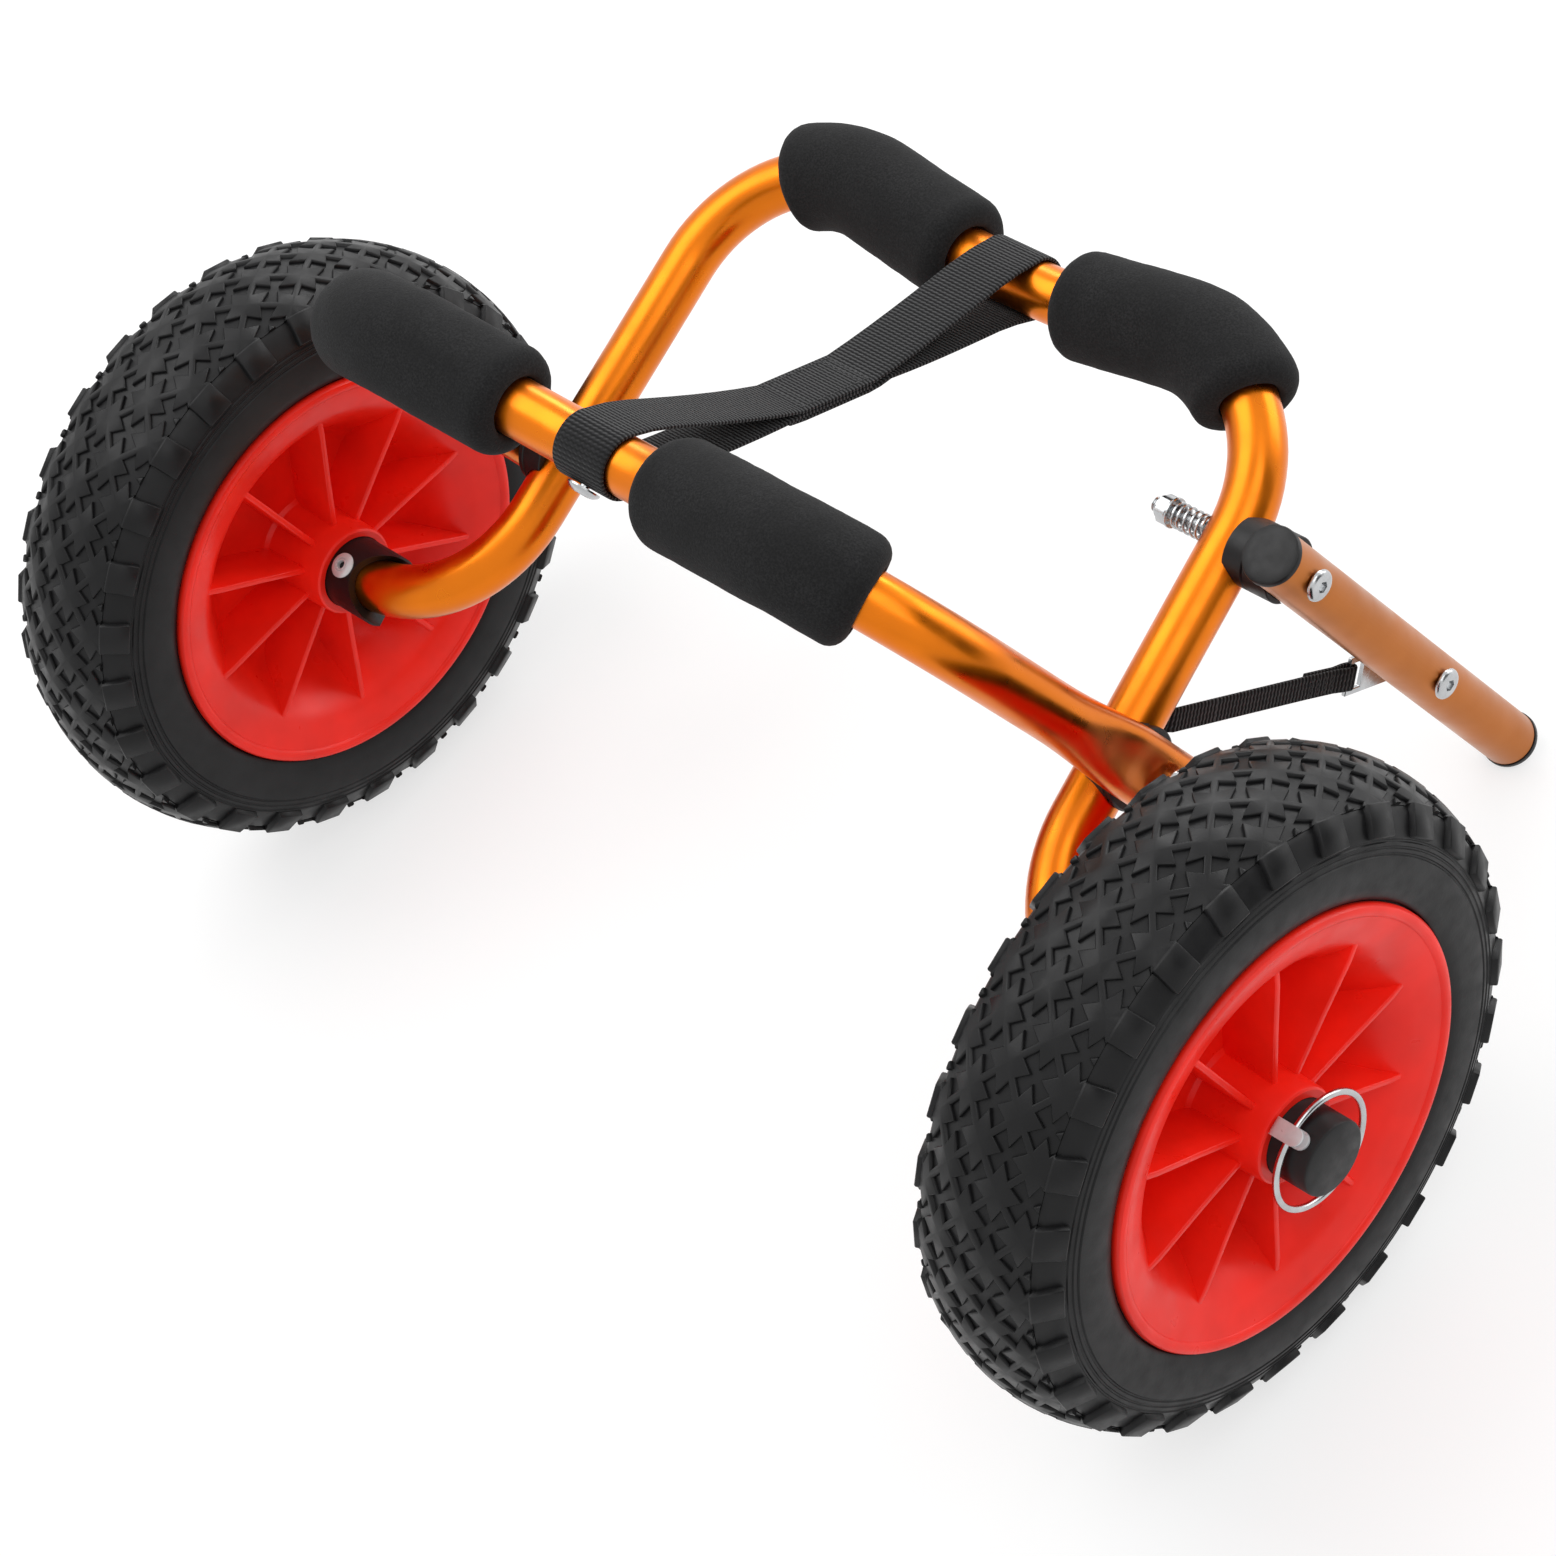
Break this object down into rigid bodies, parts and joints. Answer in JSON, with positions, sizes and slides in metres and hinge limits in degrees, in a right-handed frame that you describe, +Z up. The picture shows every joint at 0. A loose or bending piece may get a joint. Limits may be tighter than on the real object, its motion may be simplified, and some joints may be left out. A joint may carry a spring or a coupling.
{
  "type": "kayak cart",
  "caption": "Folding kayak cart of crossed bent-tube frames with foam pads and a webbing strap, solid-tyred wheels held by ring pins, and a sprung swing-down kickstand.",
  "frame": {"origin": "On the floor, under the middle of the whole cart's bounding box.", "axes": "+X along the axle to the side with the kickstand; +Z up with the cart standing on its wheels and kickstand; +Y towards the kickstand's foot."},
  "size_m": [0.612, 0.3687, 0.3297],
  "materials": {
    "anodised_tube": "glossy orange anodised tube",
    "stand_tube": "satin copper-orange anodised tube",
    "foam": "matte closed-cell foam",
    "tyre": "satin black solid tyre",
    "red_plastic": "satin-gloss moulded red",
    "black_plastic": "fine-textured black moulding",
    "steel": "bright zinc or stainless steel",
    "webbing": "ribbed black webbing"
  },
  "bodies": {
    "axle_frame": {"axle_frame_tube": "anodised_tube", "axle_pad_right": "foam", "axle_pad_left": "foam", "axle_sleeve_right": "black_plastic", "axle_sleeve_left": "black_plastic", "sleeve_rivet_right": "steel", "sleeve_rivet_left": "steel", "pivot_spacer_right": "black_plastic", "pivot_spacer_left": "black_plastic", "pivot_bolt_right": "steel", "pivot_bolt_left": "steel", "pivot_nut_right": "steel", "pivot_nut_left": "steel", "saddle_leg_half": "black_plastic", "limit_strap_rivet": "steel"},
    "cradle_frame": {"cradle_frame_tube": "anodised_tube", "cradle_pad_right": "foam", "cradle_pad_left": "foam", "strap_rivet": "steel", "frame_strap": "webbing"},
    "stand_carrier": {"stand_pivot_bolt": "steel", "stand_pivot_nut": "steel", "spring_washer": "steel", "stand_spring": "steel"},
    "kickstand": {"stand_tube": "stand_tube", "stand_cap": "black_plastic", "stand_foot": "black_plastic", "saddle_stand_half": "black_plastic", "stand_bolt": "steel", "stand_nut": "steel", "strap_bracket": "steel", "limit_strap": "webbing"},
    "right_wheel": {"tyre_right": "tyre", "rim_right": "red_plastic"},
    "left_wheel": {"tyre_left": "tyre", "rim_left": "red_plastic"},
    "right_pin": {"retaining_pin_right": "steel"},
    "left_pin": {"retaining_pin_left": "steel"},
    "right_ring": {"pin_ring_right": "steel"},
    "left_ring": {"pin_ring_left": "steel"}
  },
  "joints": [
    {"name": "frame_fold", "type": "hinge", "parent": "axle_frame", "child": "cradle_frame", "pos_m": [0, 0.02036, 0.15727], "axis": [-1, 0, 0], "range_deg": [0, 64], "deforming": ["frame_strap"]},
    {"name": "stand_pull", "type": "slide", "parent": "axle_frame", "child": "stand_carrier", "axis": [1, 0, 0], "range_m": [0, 0.004], "stiffness_N_per_m": 2000, "springref_m": -0.008, "deforming": ["stand_spring"]},
    {"name": "stand_turn", "type": "hinge", "parent": "stand_carrier", "child": "kickstand", "pos_m": [0.174, 0.10198, 0.1888], "axis": [-1, 0, 0], "range_deg": [0, 60], "deforming": ["limit_strap"]},
    {"name": "right_wheel_spin", "type": "hinge", "parent": "axle_frame", "child": "right_wheel", "pos_m": [0.2527, -0.058, 0.127], "axis": [1, 0, 0], "continuous": true},
    {"name": "left_wheel_spin", "type": "hinge", "parent": "axle_frame", "child": "left_wheel", "pos_m": [-0.2527, -0.058, 0.127], "axis": [1, 0, 0], "continuous": true},
    {"name": "right_pin_pull", "type": "slide", "parent": "axle_frame", "child": "right_pin", "axis": [0, -0.3604, 0.9328], "range_m": [0, 0.009]},
    {"name": "left_pin_pull", "type": "slide", "parent": "axle_frame", "child": "left_pin", "axis": [0, -0.3604, 0.9328], "range_m": [0, 0.009]},
    {"name": "right_ring_swing", "type": "hinge", "parent": "right_pin", "child": "right_ring", "pos_m": [0.297, -0.06452, 0.14388], "axis": [0, -0.9328, -0.3604], "range_deg": [0, 150]},
    {"name": "left_ring_swing", "type": "hinge", "parent": "left_pin", "child": "left_ring", "pos_m": [-0.297, -0.06452, 0.14388], "axis": [0, 0.9328, 0.3604], "range_deg": [0, 150]}
  ]
}
